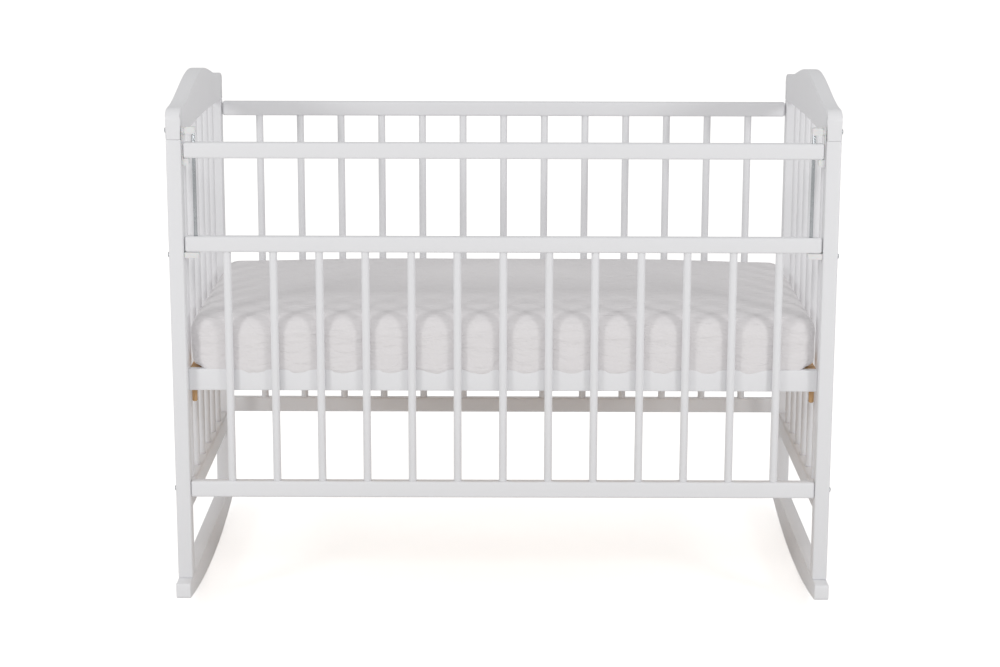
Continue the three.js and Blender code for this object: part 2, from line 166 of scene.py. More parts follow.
def start_box(name, low, high):
    """A cube primitive stretched between two corners, with its place in its mesh."""
    bpy.ops.object.select_all(action="DESELECT")
    low, high = Vector(low), Vector(high)
    bpy.ops.mesh.primitive_cube_add(size=1, location=(low + high) / 2)
    piece = bpy.context.object
    piece.scale = high - low
    return settle(piece, name)


def start_rod(name, centre, diameter, low, high, sides=40, axis=Z):
    """A cylinder primitive along an axis, from one height on that axis to another."""
    bpy.ops.object.select_all(action="DESELECT")
    middle = Vector(centre) + axis * ((low + high) / 2 - Vector(centre).dot(axis))
    bpy.ops.mesh.primitive_cylinder_add(
        vertices=sides, radius=diameter / 2, depth=high - low, location=middle,
        rotation=Z.rotation_difference(axis).to_euler(),
    )
    return settle(bpy.context.object, name)


def settle(piece, name):
    """Names a new primitive and puts its place, turn and size in its mesh."""
    piece.name = piece.data.name = name
    bpy.ops.object.transform_apply(location=True, rotation=True, scale=True)
    return piece


@contextmanager
def editing(piece, mode="EDGE"):
    """Edit mode on one piece with nothing selected; gives its editable mesh."""
    bpy.ops.object.select_all(action="DESELECT")
    piece.select_set(True)
    bpy.context.view_layer.objects.active = piece
    bpy.ops.object.mode_set(mode="EDIT")
    bpy.ops.mesh.select_mode(type=mode)
    bpy.ops.mesh.select_all(action="DESELECT")
    yield bmesh.from_edit_mesh(piece.data)
    bpy.ops.mesh.reveal(select=False)
    bpy.ops.object.mode_set(mode="OBJECT")


def pick(mesh, elements, wanted):
    """Selects the vertices, edges or faces for which wanted(element) holds."""
    for element in elements:
        if not element.hide:
            element.select_set(wanted(element))
    mesh.select_flush_mode()


def along(edge, axis):
    """Whether an edge runs along an axis."""
    run = edge.verts[1].co - edge.verts[0].co
    return run.length > 0 and abs(run.normalized().dot(axis)) > 0.999


def near(value, place, slack=0.05 * MM):
    return abs(value - place) < slack


def middle_of(element):
    return sum((v.co for v in element.verts), Vector()) / len(element.verts)


def is_sharp(edge, angle=40):
    return edge.is_manifold and edge.calc_face_angle(0) > math.radians(angle)


def round_edges(piece, radius, segments, wanted):
    """Bevels the edges for which wanted(edge) holds."""
    with editing(piece) as mesh:
        pick(mesh, mesh.edges, wanted)
        bpy.ops.mesh.bevel(offset=radius, segments=segments, affect="EDGES")


def smooth(piece, angle=32):
    bpy.ops.object.select_all(action="DESELECT")
    piece.select_set(True)
    bpy.context.view_layer.objects.active = piece
    bpy.ops.object.shade_smooth_by_angle(angle=math.radians(angle))


def apply_modifier(piece, kind, **settings):
    """Adds a modifier with its settings and applies it at once."""
    modifier = piece.modifiers.new(kind.title(), kind)
    for key, value in settings.items():
        setattr(modifier, key, value)
    bpy.context.view_layer.objects.active = piece
    bpy.ops.object.modifier_apply(modifier=modifier.name)


def combine(piece, tool, operation):
    """Joins a tool to a piece, or cuts it away, and deletes the tool."""
    apply_modifier(piece, "BOOLEAN", object=tool, operation=operation, solver="EXACT")
    bpy.data.objects.remove(tool)


def drill(piece, centre, diameter, low, high, axis=Z):
    """Cuts a round hole along an axis, from one height on that axis to another."""
    hole = start_rod("hole", centre, diameter, low, high, axis=axis)
    combine(piece, hole, "DIFFERENCE")


def join(pieces, name):
    """Makes several pieces one object, each keeping its own shell."""
    bpy.ops.object.select_all(action="DESELECT")
    for piece in pieces:
        piece.select_set(True)
    bpy.context.view_layer.objects.active = pieces[0]
    bpy.ops.object.join()
    pieces[0].name = pieces[0].data.name = name
    return pieces[0]


def copy_piece(piece, name, shift=(0, 0, 0)):
    """A copy with its own mesh, moved by a shift."""
    made = piece.copy()
    made.data = piece.data.copy()
    made.name = made.data.name = name
    made.data.transform(Matrix.Translation(shift))
    bpy.context.scene.collection.objects.link(made)
    return made


def mirror_piece(piece, name):
    """A copy on the other end of the crib, with its faces turned outwards again."""
    made = copy_piece(piece, name)
    made.data.transform(Matrix.Scale(-1, 4, X))
    made.data.flip_normals()
    return made


def finish_piece(piece, material, body="root", replaces=()):
    """Gives a piece its material, its body and the CAD nodes it stands for."""
    piece.data.materials.clear()
    piece.data.materials.append(material)
    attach(piece, body)
    if replaces:
        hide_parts(*replaces)
    return piece


def spread(count, pitch):
    return [(i - (count - 1) / 2) * pitch for i in range(count)]


# ----------------------------------------------------------------- materials


def node(tree, kind, links=None, **settings):
    """Adds a node; links gives its inputs a socket to follow or a fixed value."""
    made = tree.nodes.new(kind)
    for key, value in settings.items():
        setattr(made, key, value)
    for key, value in (links or {}).items():
        if isinstance(value, bpy.types.NodeSocket):
            tree.links.new(value, made.inputs[key])
        else:
            made.inputs[key].default_value = value
    return made


def new_material(name, **shader_values):
    """A new material with its tree and shader; most finishes look theirs up by name first, so they are
    made once.
    """
    material = bpy.data.materials.new(name)
    material.use_nodes = True
    tree = material.node_tree
    shader = next(n for n in tree.nodes if n.type == "BSDF_PRINCIPLED")
    for key, value in shader_values.items():
        shader.inputs[key.replace("_", " ")].default_value = value
    return material, tree, shader


def per_metre(size):
    """A texture scale whose features are about that size in metres."""
    return 1 / size


def shades(code_colour, *factors):
    """A colour darkened by each factor, with alpha, for ramps and mixes."""
    return [(*(c * f for c in code_colour), 1) for f in factors]


def noise(tree, place, size, **settings):
    """A cloudy pattern whose features are about that size in metres."""
    links = {"Vector": place, "Scale": per_metre(size), **settings}
    return node(tree, "ShaderNodeTexNoise", links).outputs["Fac"]


def mixed(tree, share, first, second):
    return node(tree, "ShaderNodeMixRGB", {0: share, 1: first, 2: second}).outputs[0]


def squashed(tree, place, scale):
    """A place squashed along some axes, so that a pattern on it is drawn out along them."""
    return node(tree, "ShaderNodeMapping", {"Vector": place, "Scale": scale}).outputs[0]


def spanned(tree, value, low, high):
    """A value from 0 to 1 spread between two others."""
    return node(
        tree, "ShaderNodeMapRange", {"Value": value, "To Min": low, "To Max": high}
    ).outputs[0]


def relief(tree, height, strength, depth, under=None):
    """A bump with a depth in metres, laid over another bump if one is given."""
    links = {"Height": height, "Strength": strength, "Distance": depth}
    if under:
        links["Normal"] = under
    return node(tree, "ShaderNodeBump", links).outputs[0]


def dress(tree, shader, **outputs):
    """Links finished patterns to the shader."""
    for key, output in outputs.items():
        tree.links.new(output, shader.inputs[key.replace("_", " ")])


def painted_birch(grain):
    """Birch under two sprayed coats of satin enamel: even white, a fine orange peel, and the
    long grain just telling through the film."""
    name = f"painted birch, grain along {grain}"
    if name in bpy.data.materials:
        return bpy.data.materials[name]
    colours = bpy.context.scene.crib_colours
    material, tree, shader = new_material(name, IOR=1.5, Specular_IOR_Level=0.5)
    place = node(tree, "ShaderNodeTexCoord").outputs["Object"]
    # grain lines 1.5 mm apart and about 75 mm long
    along_grain = squashed(tree, place, [0.02 if axis == grain else 1 for axis in "XYZ"])
    lines = noise(tree, along_grain, 1.5 * MM, Detail=3.0, Roughness=0.55)
    # orange peel of the sprayed film, about 2.5 mm from crest to crest
    peel = noise(tree, place, 2.5 * MM, Detail=1.0, Roughness=0.4)
    # thin and thick places of the coat, a hand's width apart
    coat = noise(tree, place, 90 * MM)
    full, thin, telling = shades(colours.paint, 1.0, 0.955, 0.975)
    dress(
        tree, shader, Base_Color=mixed(tree, lines, mixed(tree, coat, full, thin), telling),
        Roughness=spanned(tree, coat, 0.34, 0.46),
        Normal=relief(tree, peel, 0.35, 0.15 * MM, relief(tree, lines, 0.35, 0.12 * MM)),
    )
    return material


def planed_birch(grain):
    """Bare planed birch: honey-pale, with drawn-out growth rings and fine short pores."""
    name = f"planed birch, grain along {grain}"
    if name in bpy.data.materials:
        return bpy.data.materials[name]
    colours = bpy.context.scene.crib_colours
    material, tree, shader = new_material(name, IOR=1.5, Roughness=0.58)
    place = node(tree, "ShaderNodeTexCoord").outputs["Object"]
    squash = [0.06 if axis == grain else 1 for axis in "XYZ"]
    along_grain = squashed(tree, place, squash)
    # growth rings 4 mm apart, bent by a slow noise
    wander_size, ring = 28 * MM, 4 * MM
    wander = noise(tree, along_grain, wander_size)
    turns = node(
        tree, "ShaderNodeMath", {0: wander, 1: 2 * math.pi * wander_size / ring},
        operation="MULTIPLY",
    )
    wave = node(tree, "ShaderNodeMath", {0: turns.outputs[0]}, operation="SINE")
    band = node(
        tree, "ShaderNodeMapRange",
        {"Value": wave.outputs[0], "From Min": -1.0, "To Min": 0.0, "To Max": 0.45},
    )
    # pores 0.9 mm across
    pores = noise(tree, squashed(tree, along_grain, squash), 0.9 * MM)
    early, late = (*colours.birch, 1), (*colours.birch_dark, 1)
    speck = node(
        tree, "ShaderNodeMapRange",
        {"Value": pores, "From Min": 0.35, "From Max": 0.75, "To Max": 0.35},
    )
    ringed = mixed(tree, band.outputs[0], early, late)
    pore_colour = shades(colours.birch_dark, 0.8)[0]
    dress(
        tree, shader, Base_Color=mixed(tree, speck.outputs[0], ringed, pore_colour),
        Normal=relief(tree, pores, 0.4, 0.15 * MM),
    )
    return material


def moulded_polypropylene():
    """Injection-moulded polypropylene: plain white, a waxy gloss and a fine eroded tool
    texture."""
    name = "moulded polypropylene"
    if name in bpy.data.materials:
        return bpy.data.materials[name]
    colours = bpy.context.scene.crib_colours
    material, tree, shader = new_material(
        name, IOR=1.49, Subsurface_Weight=0.08, Subsurface_Scale=2 * MM
    )
    place = node(tree, "ShaderNodeTexCoord").outputs["Object"]
    # tool texture 0.8 mm, drawn about twice as coarse as the real one so that it shows
    texture = noise(tree, place, 0.8 * MM, Roughness=0.6)
    flow = noise(tree, place, 9 * MM, Detail=1.0)
    full, dull = shades(colours.plastic, 1.0, 0.93)
    dress(
        tree, shader, Base_Color=mixed(tree, flow, full, dull),
        Roughness=spanned(tree, flow, 0.30, 0.44),
        Normal=relief(tree, texture, 0.3, 0.08 * MM),
    )
    return material


def zinc_plated_steel():
    """Bright zinc plate over drawn steel: a cool grey mirror, clouded in patches, with faint
    drawing lines along the rods."""
    name = "zinc-plated steel"
    if name in bpy.data.materials:
        return bpy.data.materials[name]
    colours = bpy.context.scene.crib_colours
    material, tree, shader = new_material(name, Metallic=1.0)
    place = node(tree, "ShaderNodeTexCoord").outputs["Object"]
    cloud = noise(tree, place, 7 * MM, Detail=3.0, Roughness=0.6)
    bright, dull = shades(colours.zinc, 1.0, 0.78)
    # drawing lines 0.4 mm apart, running up the rods
    lines = noise(tree, squashed(tree, place, (1, 1, 0.01)), 0.4 * MM, Detail=1.0)
    dress(
        tree, shader, Base_Color=mixed(tree, cloud, bright, dull),
        Roughness=spanned(tree, cloud, 0.16, 0.34),
        Normal=relief(tree, lines, 0.25, 0.05 * MM),
    )
    return material


def woven_cotton():
    """Plain-woven washed cotton: matt, with soft slubs across the weave and a faint fuzz."""
    name = "woven cotton"
    if name in bpy.data.materials:
        return bpy.data.materials[name]
    colours = bpy.context.scene.crib_colours
    material, tree, shader = new_material(
        name, IOR=1.46, Roughness=0.88, Sheen_Weight=0.18, Sheen_Roughness=0.45,
        Specular_IOR_Level=0.25,
    )
    # the cover's own map is in metres along the warp (U) and the weft (V)
    cloth = node(tree, "ShaderNodeUVMap", uv_map="weave").outputs[0]
    # threads 1.1 mm apart, about twice the real spacing so that the weave shows
    bands = []
    for axis in ("X", "Y"):
        wave = node(
            tree, "ShaderNodeTexWave",
            {"Vector": cloth, "Scale": per_metre(1.1 * MM) * math.pi / 10, "Distortion": 0.6,
             "Detail": 1.0, "Detail Scale": 0.4},
            wave_type="BANDS", bands_direction=axis, wave_profile="SIN",
        )
        bands.append(wave.outputs["Fac"])
    weave = node(
        tree, "ShaderNodeMath", {0: bands[0], 1: bands[1]}, operation="MULTIPLY"
    ).outputs[0]
    # slubs: thicker threads 3 mm wide and 60 mm long, mostly along the crib
    slubs = noise(
        tree, squashed(tree, cloth, (0.05, 1, 1)), 3.2 * MM, Detail=3.0, Roughness=0.65
    )
    cross_slubs = noise(tree, squashed(tree, cloth, (1, 0.08, 1)), 2.4 * MM)
    # soft creases left by washing, 14 mm apart, longer along the crib
    creases = noise(
        tree, squashed(tree, cloth, (0.25, 1, 1)), 14 * MM, Detail=3.0, Roughness=0.6,
        Distortion=0.8,
    )
    full, worn, gap = shades(colours.cotton, 1.02, 0.93, 0.95)
    normal = None
    for height, depth in (
        (creases, 7 * MM), (slubs, 0.35 * MM), (cross_slubs, 0.2 * MM), (weave, 0.12 * MM)
    ):
        normal = relief(tree, height, 0.6, depth, normal)
    dress(
        tree, shader, Base_Color=mixed(tree, weave, gap, mixed(tree, slubs, full, worn)),
        Normal=normal,
    )
    return material


def bonded_ticking():
    """Spun-bonded fabric of the mattress's own case: plain, fibrous and dull."""
    name = "bonded polyester"
    if name in bpy.data.materials:
        return bpy.data.materials[name]
    colours = bpy.context.scene.crib_colours
    material, tree, shader = new_material(name, IOR=1.46, Roughness=0.92)
    place = node(tree, "ShaderNodeTexCoord").outputs["Object"]
    # bonded spots 4 mm apart
    spots = node(
        tree, "ShaderNodeTexVoronoi", {"Vector": place, "Scale": per_metre(4 * MM)}
    ).outputs["Distance"]
    full, low = shades(colours.ticking, 1.0, 0.9)
    dress(
        tree, shader, Base_Color=mixed(tree, spots, low, full),
        Normal=relief(tree, spots, 0.5, 0.4 * MM),
    )
    return material


def studio_floor():
    """White studio paper, lit from behind for the lens so that it comes out pure white."""
    colours = bpy.context.scene.crib_colours
    material, tree, shader = new_material("studio paper", Roughness=0.9)
    place = node(tree, "ShaderNodeTexCoord").outputs["Object"]
    full, soft = shades(colours.floor, 1.0, 0.99)
    seen = node(tree, "ShaderNodeLightPath").outputs["Is Camera Ray"]
    glow = node(tree, "ShaderNodeMath", {0: seen, 1: 0.62}, operation="MULTIPLY")
    shader.inputs["Emission Color"].default_value = full
    dress(
        tree, shader, Base_Color=mixed(tree, noise(tree, place, 0.4), full, soft),
        Emission_Strength=glow.outputs[0],
    )
    return material


# ---------------------------------------------------------------- operators


class CribOperator(bpy.types.Operator):
    """What every operator of this panel shares."""

    bl_options = {"REGISTER", "UNDO"}

    def execute(self, context):
        self.build(context.scene.crib_sizes)
        return {"FINISHED"}


class CRIB_OT_posts(CribOperator):
    """Four square posts with rounded edges"""

    bl_idname = "crib.posts"
    bl_label = "Posts"

    def build(self, sizes):
        low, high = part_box("post_front_left")
        post = start_box("post_front_left_wood", low, high)
        round_edges(post, sizes.post_edge, 5, lambda e: along(e, Z))
        round_edges(post, sizes.seam_edge, 2, is_sharp)
        smooth(post)
        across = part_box("post_front_right")[0] - low
        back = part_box("post_back_left")[0] - low
        copies = {
            "post_front_left": post,
            "post_front_right": copy_piece(post, "post_front_right_wood", across),
            "post_back_left": copy_piece(post, "post_back_left_wood", back),
            "post_back_right": copy_piece(post, "post_back_right_wood", across + back),
        }
        for cad_node, piece in copies.items():
            finish_piece(piece, painted_birch("Z"), replaces=[cad_node])


class CRIB_OT_rockers(CribOperator):
    """Two curved rockers, each swept round the centre of its sole and planed flat on top"""

    bl_idname = "crib.rockers"
    bl_label = "Rockers"

    def build(self, sizes):
        low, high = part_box("rocker_left")
        radius, tip, top = sizes.sole_radius, high.y, high.z
        centre = Vector(((low.x + high.x) / 2, 0, radius))
        depth = top + 12 * MM
        bpy.ops.object.select_all(action="DESELECT")
        bpy.ops.mesh.primitive_plane_add(
            size=1, location=(centre.x, 0, depth / 2), rotation=(math.pi / 2, 0, 0)
        )
        rocker = bpy.context.object
        rocker.scale = (high.x - low.x, depth, 1)
        settle(rocker, "rocker_left_wood")
        swing = math.asin(tip / radius) + 0.01
        with editing(rocker, "FACE"):
            bpy.ops.mesh.select_all(action="SELECT")
            bpy.ops.transform.rotate(value=-swing, orient_axis="X", center_override=centre)
            bpy.ops.mesh.spin(steps=72, angle=2 * swing, center=centre, axis=X)
            bpy.ops.mesh.select_all(action="SELECT")
            bpy.ops.mesh.remove_doubles(threshold=0.01 * MM)
            bpy.ops.mesh.normals_make_consistent(inside=False)
        cuts = [((0, 0, top), Z), ((0, tip, 0), Y), ((0, -tip, 0), -Y)]
        for place, outwards in cuts:
            with editing(rocker, "FACE"):
                bpy.ops.mesh.select_all(action="SELECT")
                bpy.ops.mesh.bisect(
                    plane_co=place, plane_no=outwards, use_fill=True, clear_outer=True
                )
        on_tip = lambda v: near(abs(v.co.y), tip)
        round_edges(
            rocker, sizes.rocker_nose, 8,
            lambda e: along(e, X) and all(on_tip(v) and near(v.co.z, top) for v in e.verts),
        )
        round_edges(
            rocker, sizes.rocker_toe, 4,
            lambda e: along(e, X) and all(on_tip(v) and v.co.z < top / 2 + 4 * MM for v in e.verts),
        )
        round_edges(
            rocker, sizes.rocker_edge, 4,
            lambda e: is_sharp(e) and not along(e, X),
        )
        smooth(rocker)
        other = mirror_piece(rocker, "rocker_right_wood")
        finish_piece(rocker, painted_birch("Y"), replaces=["rocker_left"])
        finish_piece(other, painted_birch("Y"), replaces=["rocker_right"])


class CRIB_OT_end_boards(CribOperator):
    """Two end boards with a waved crest and a shallow arch under it"""

    bl_idname = "crib.end_boards"
    bl_label = "End boards"

    def build(self, sizes):
        low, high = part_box("end_board_left")
        post_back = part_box("post_front_left")[1].y
        shoulder, end = sizes.shoulder, high.y
        board = start_box("end_board_left_wood", low, (high.x, high.y, shoulder))
        with editing(board) as mesh:
            pick(mesh, mesh.edges, lambda e: along(e, Y))
            bpy.ops.mesh.subdivide(number_cuts=sizes.board_cuts)
        self.bulge(board, shoulder, high.z - shoulder, end - sizes.board_corner, "SMOOTH")
        self.bulge(board, low.z, sizes.board_arch, abs(post_back), "INVERSE_SQUARE")
        with editing(board, "VERT") as mesh:
            pick(
                mesh, mesh.verts,
                lambda v: near(v.co.z, shoulder)
                and end - sizes.board_corner - 1 * MM < abs(v.co.y) < end - 1 * MM,
            )
            bpy.ops.mesh.dissolve_verts()
        round_edges(
            board, sizes.board_corner, 8,
            lambda e: along(e, X) and is_sharp(e) and middle_of(e).z > shoulder - 5 * MM
            and near(abs(middle_of(e).y), end),
        )
        round_edges(
            board, sizes.board_edge, 4,
            lambda e: is_sharp(e, 60) and not along(e, X) and middle_of(e).z > low.z + 1 * MM
            and not (near(middle_of(e).z, low.z, 10 * MM) and abs(middle_of(e).y) < end - 1 * MM),
        )
        round_edges(
            board, sizes.seam_edge, 2,
            lambda e: is_sharp(e, 60) and not along(e, X) and middle_of(e).z < low.z + 10 * MM
            and abs(middle_of(e).y) < end - 1 * MM,
        )
        for y in spread(6, sizes.end_bar_pitch):
            drill(
                board, ((low.x + high.x) / 2, y, 0), sizes.bar + 2 * sizes.socket_gap,
                low.z - sizes.bar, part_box("end_grille_left")[1].z + sizes.socket_gap,
            )
        bolt_low, bolt_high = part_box("pivot_bolt_left")
        middle = (bolt_low + bolt_high) / 2
        drill(
            board, middle, sizes.bolt_shank + 2 * sizes.socket_gap,
            low.x - 5 * MM, high.x + 5 * MM, axis=X,
        )
        smooth(board, 40)
        other = mirror_piece(board, "end_board_right_wood")
        finish_piece(board, painted_birch("Y"), replaces=["end_board_left"])
        finish_piece(other, painted_birch("Y"), replaces=["end_board_right"])

    def bulge(self, board, height, rise, reach, falloff):
        """Lifts the middle of one long face, the rest following it to a reach."""
        with editing(board, "VERT") as mesh:
            pick(mesh, mesh.verts, lambda v: not near(v.co.z, height))
            bpy.ops.mesh.hide(unselected=False)
            pick(mesh, mesh.verts, lambda v: near(v.co.z, height) and near(v.co.y, 0))
            bpy.ops.transform.translate(
                value=(0, 0, rise), use_proportional_edit=True,
                proportional_edit_falloff=falloff, proportional_size=reach,
            )


class CRIB_OT_end_panels(CribOperator):
    """A low cross rail with six round bars at each end"""

    bl_idname = "crib.end_panels"
    bl_label = "End panels"

    def build(self, sizes):
        low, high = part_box("end_grille_left")
        rail_top = low.z + sizes.end_rail
        rail = start_box("end_rail_left_wood", low, (high.x, high.y, rail_top))
        round_edges(rail, sizes.rail_edge, 5, lambda e: along(e, Y))
        round_edges(rail, sizes.end_edge, 2, is_sharp)
        middle = (low.x + high.x) / 2
        foot = rail_top - sizes.socket_depth
        bar = start_rod("end_bar_left_1", (middle, 0, 0), sizes.bar, foot, high.z)
        round_edges(bar, sizes.end_edge, 2, is_sharp)
        smooth(bar)
        places = spread(6, sizes.end_bar_pitch)
        for y in places:
            drill(
                rail, (middle, y, 0), sizes.bar + 2 * sizes.socket_gap,
                foot - sizes.socket_gap, rail_top + 1 * MM,
            )
        smooth(rail)
        paint = painted_birch("Y")
        other = mirror_piece(rail, "end_rail_right_wood")
        finish_piece(rail, paint, replaces=["end_grille_left"])
        finish_piece(other, paint, replaces=["end_grille_right"])
        for end, side in ENDS.items():
            for i, y in enumerate(places):
                shift = (middle * (-side - 1), y, 0)
                copy = copy_piece(bar, f"end_bar_{end}_{i + 1}_wood", shift)
                finish_piece(copy, painted_birch("Z"))
        bpy.data.objects.remove(bar)


class CRIB_OT_rails(CribOperator):
    """The long rails, rounded on every edge, and the rail that drops"""

    bl_idname = "crib.rails"
    bl_label = "Long rails"

    def build(self, sizes):
        self.rail(sizes, "front_bottom_rail", sockets="top")
        self.rail(sizes, "front_mid_rail", sockets="bottom", rod_holes=True)
        self.rail(sizes, "drop_rail", rod_holes=True, body="drop_rail")
        self.rail(sizes, "back_bottom_rail", sockets="top")
        self.rail(sizes, "back_top_rail", sockets="bottom")

    def rail(self, sizes, cad_node, sockets=None, rod_holes=False, body="root"):
        low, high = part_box(cad_node)
        piece = start_box(cad_node + "_wood", low, high)
        round_edges(piece, sizes.rail_edge, 6, is_sharp)
        middle_y = (low.y + high.y) / 2
        if sockets:
            face = {"top": high.z, "bottom": low.z}[sockets]
            inwards = {"top": -1, "bottom": 1}[sockets] * sizes.socket_depth
            ends = sorted((face + inwards * 1.02, face - inwards / 4))
            for x in spread(13, sizes.bar_pitch):
                drill(
                    piece, (x, middle_y, 0), sizes.bar + 2 * sizes.socket_gap, *ends
                )
        if rod_holes:
            for end in ENDS:
                rod_low, rod_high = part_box(f"guide_rod_{end}")
                drill(
                    piece, (rod_low + rod_high) / 2, sizes.rod_hole,
                    low.z - 2 * MM, high.z + 2 * MM,
                )
        smooth(piece)
        finish_piece(piece, painted_birch("X"), body, [cad_node])


class CRIB_OT_bars(CribOperator):
    """The round bars of the front and the back"""

    bl_idname = "crib.bars"
    bl_label = "Round bars"

    def build(self, sizes):
        for side in SIDES:
            low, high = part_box(f"{side}_bar_01")
            centre = (low + high) / 2
            bar = start_rod(f"{side}_bar_01_wood", centre, sizes.bar, low.z, high.z)
            round_edges(bar, sizes.end_edge, 2, is_sharp)
            smooth(bar)
            for i in range(13):
                cad_node = f"{side}_bar_{i + 1:02d}"
                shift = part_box(cad_node)[0] - low
                piece = copy_piece(bar, cad_node + "_wood", shift) if i else bar
                finish_piece(piece, painted_birch("Z"), replaces=[cad_node])


class CRIB_OT_rods(CribOperator):
    """The steel guide rods with turned ends"""

    bl_idname = "crib.rods"
    bl_label = "Guide rods"

    def build(self, sizes):
        for end in ENDS:
            low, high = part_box(f"guide_rod_{end}")
            rod = start_rod(
                f"guide_rod_{end}_steel", (low + high) / 2, high.x - low.x, low.z, high.z
            )
            round_edges(rod, sizes.end_edge, 2, is_sharp)
            smooth(rod)
            finish_piece(rod, zinc_plated_steel(), replaces=[f"guide_rod_{end}"])


class CRIB_OT_holders(CribOperator):
    """Plastic holders at the two ends of each rod, and the catches that turn by them"""

    bl_idname = "crib.holders"
    bl_label = "Holders and catches"

    def build(self, sizes):
        plastic = moulded_polypropylene()
        made = {
            "upper_rod_holder": self.upper(sizes),
            "lower_rod_holder": self.lower(sizes),
            "catch": self.catch(sizes),
        }
        for kind, left in made.items():
            smooth(left)
            right = mirror_piece(left, f"{kind}_right_plastic")
            for end, piece in (("left", left), ("right", right)):
                body = f"catch_{end}" if kind == "catch" else "root"
                finish_piece(piece, plastic, body, [f"{kind}_{end}"])

    def upper(self, sizes):
        """A block with large roundings that takes the end of the rod and the pivot bolt."""
        low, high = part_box("upper_rod_holder_left")
        block = start_box("upper_rod_holder_left_plastic", low, high)
        round_edges(block, sizes.holder_edge, 6, lambda e: along(e, Y))
        round_edges(block, sizes.moulded_edge, 3, is_sharp)
        rod_low, rod_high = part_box("guide_rod_left")
        drill(
            block, (rod_low + rod_high) / 2, sizes.rod_seat, low.z - 5 * MM,
            rod_high.z + sizes.socket_gap,
        )
        bolt_low, bolt_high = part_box("pivot_bolt_left")
        drill(
            block, (bolt_low + bolt_high) / 2, sizes.bolt_shank + 2 * sizes.socket_gap,
            low.x - 5 * MM, bolt_high.x + sizes.socket_gap, axis=X,
        )
        return block

    def lower(self, sizes):
        low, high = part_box("lower_rod_holder_left")
        block = start_box("lower_rod_holder_left_plastic", low, high)
        round_edges(
            block, sizes.holder_edge, 6,
            lambda e: along(e, Y) and near(middle_of(e).z, low.z),
        )
        round_edges(block, sizes.moulded_edge, 3, is_sharp)
        rod_low, rod_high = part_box("guide_rod_left")
        drill(
            block, (rod_low + rod_high) / 2, sizes.rod_seat,
            rod_low.z - sizes.socket_gap, high.z + 5 * MM,
        )
        return block

    def catch(self, sizes):
        """A flat tongue with a round boss on the bolt above and a hook below."""
        low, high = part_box("catch_left")
        bolt_low, bolt_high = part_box("pivot_bolt_left")
        pivot = (bolt_low + bolt_high) / 2
        face = low.x + sizes.catch
        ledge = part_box("drop_rail")[0].z - sizes.socket_gap
        half = sizes.catch_width / 2
        tongue = start_box(
            "catch_left_plastic", (low.x, pivot.y - half, low.z), (face, pivot.y + half, pivot.z)
        )
        with editing(tongue, "FACE"):
            bpy.ops.mesh.select_all(action="SELECT")
            bpy.ops.mesh.bisect(plane_co=(0, 0, ledge), plane_no=Z)
        with editing(tongue, "FACE") as mesh:
            pick(mesh, mesh.faces, lambda f: f.normal.x > 0.9 and middle_of(f).z < ledge)
            bpy.ops.mesh.extrude_region_move(
                TRANSFORM_OT_translate={"value": (high.x - face, 0, 0)}
            )
        round_edges(
            tongue, sizes.catch_edge, 6,
            lambda e: along(e, Y) and near(middle_of(e).x, high.x) and near(middle_of(e).z, low.z),
        )
        round_edges(tongue, sizes.moulded_edge / 2, 2, is_sharp)
        boss = start_rod(
            "boss", pivot, 2 * (high.z - pivot.z), low.x, low.x + sizes.catch_boss, 48, X
        )
        round_edges(boss, sizes.moulded_edge, 3, is_sharp)
        combine(tongue, boss, "UNION")
        drill(
            tongue, pivot, sizes.bolt_shank + 2 * sizes.socket_gap,
            low.x - 5 * MM, low.x + 20 * MM, axis=X,
        )
        return tongue


